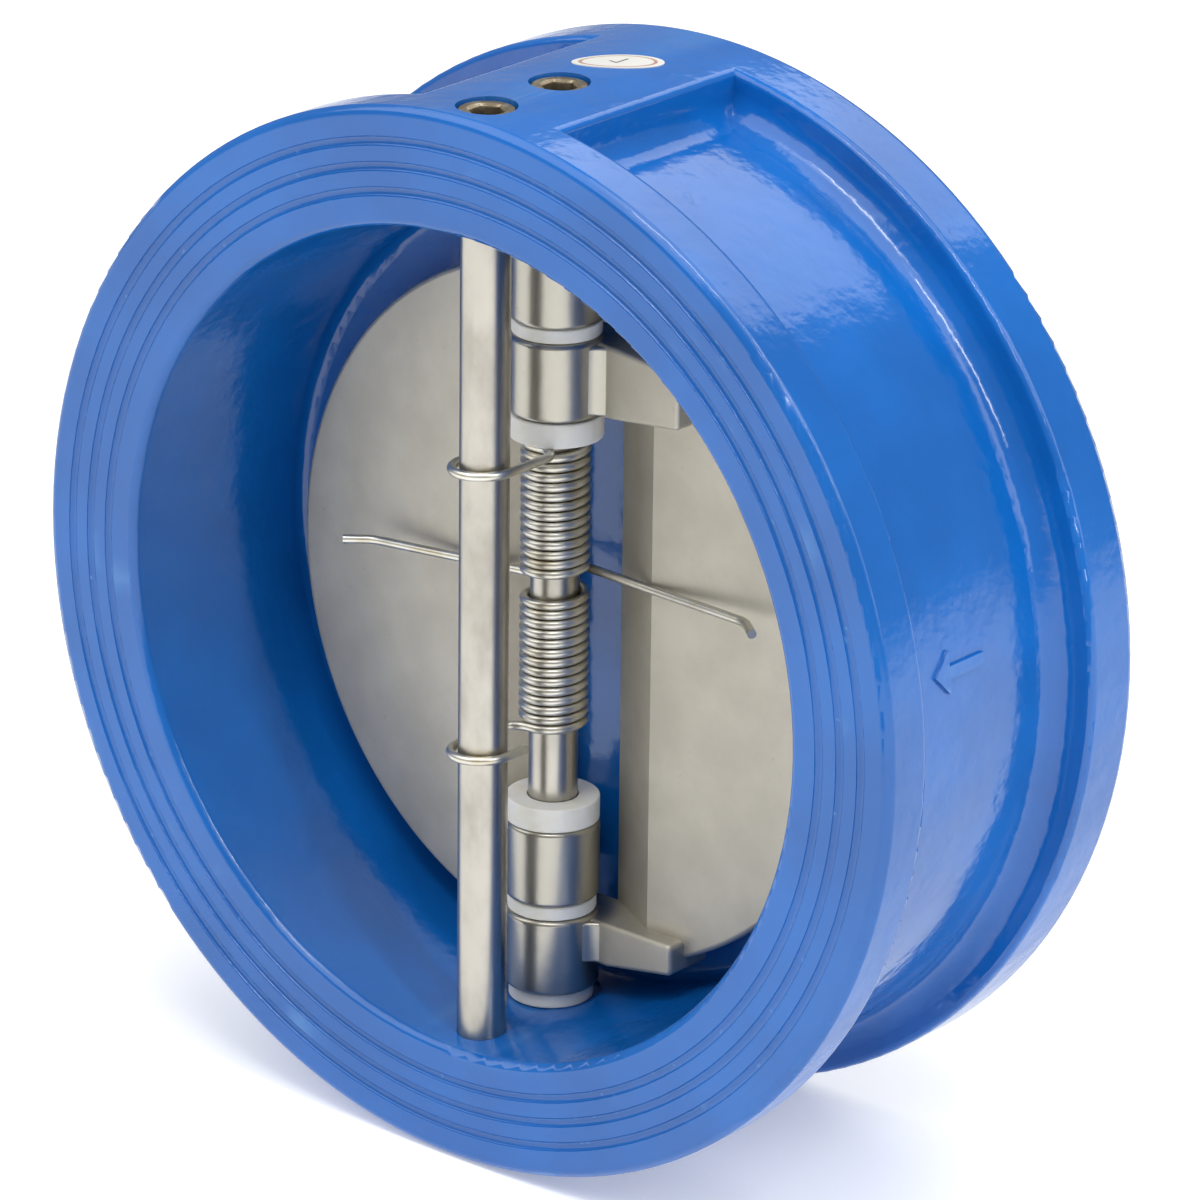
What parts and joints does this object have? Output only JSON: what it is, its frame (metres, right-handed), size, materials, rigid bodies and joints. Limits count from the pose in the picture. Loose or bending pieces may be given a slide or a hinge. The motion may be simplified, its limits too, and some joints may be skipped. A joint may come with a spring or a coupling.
{
  "type": "wafer check valve",
  "caption": "Dual-plate wafer check valve: ring body with grooved flange faces, two spring-closed half-disc plates hinged on a vertical pin, stop pin across the bore and white bearing washers.",
  "frame": {"origin": "centre of the body: on the flow axis, half way between the two flange faces", "axes": "+Y along the flow axis from the outlet face to the inlet face; +Z along the hinge pin and the stop pin, towards their screwed plugs; +X to the right when looking into the outlet with the plugs up"},
  "size_m": [0.1746, 0.062, 0.1747],
  "materials": {
    "blue_epoxy": "gloss fusion-bonded epoxy over a cast surface",
    "seat_rubber": "matte moulded rubber",
    "cast_plate": "bead-blasted stainless casting",
    "pin_steel": "drawn bar, lightly brushed",
    "spring_wire": "drawn spring wire",
    "white_ptfe": "machined fluoropolymer",
    "plug_steel": "dulled plated plug",
    "label_film": "printed film with no wording"
  },
  "bodies": {
    "body": {"valve_body": "blue_epoxy", "left_seat_seal": "seat_rubber", "right_seat_seal": "seat_rubber", "hinge_pin": "pin_steel", "stop_pin": "pin_steel", "upper_spring": "spring_wire", "lower_spring": "spring_wire", "top_end_washer": "white_ptfe", "upper_lug_washer": "white_ptfe", "upper_spring_washer": "white_ptfe", "lower_spring_washer": "white_ptfe", "lower_lug_washer": "white_ptfe", "bottom_end_washer": "white_ptfe", "hinge_pin_plug": "plug_steel", "stop_pin_plug": "plug_steel", "inspection_label": "label_film"},
    "left_plate": {"left_plate": "cast_plate"},
    "right_plate": {"right_plate": "cast_plate"}
  },
  "joints": [
    {"name": "left_plate_hinge", "type": "hinge", "parent": "body", "child": "left_plate", "pos_m": [0, -0.0055, 0], "axis": [0, 0, 1], "range_deg": [0, 77], "stiffness_Nm_per_rad": 0.11, "springref_deg": -80.21, "deforming": ["lower_spring"]},
    {"name": "right_plate_hinge", "type": "hinge", "parent": "body", "child": "right_plate", "pos_m": [0, -0.0055, 0], "axis": [0, 0, -1], "range_deg": [0, 77], "stiffness_Nm_per_rad": 0.11, "springref_deg": -80.21, "deforming": ["upper_spring"]}
  ]
}
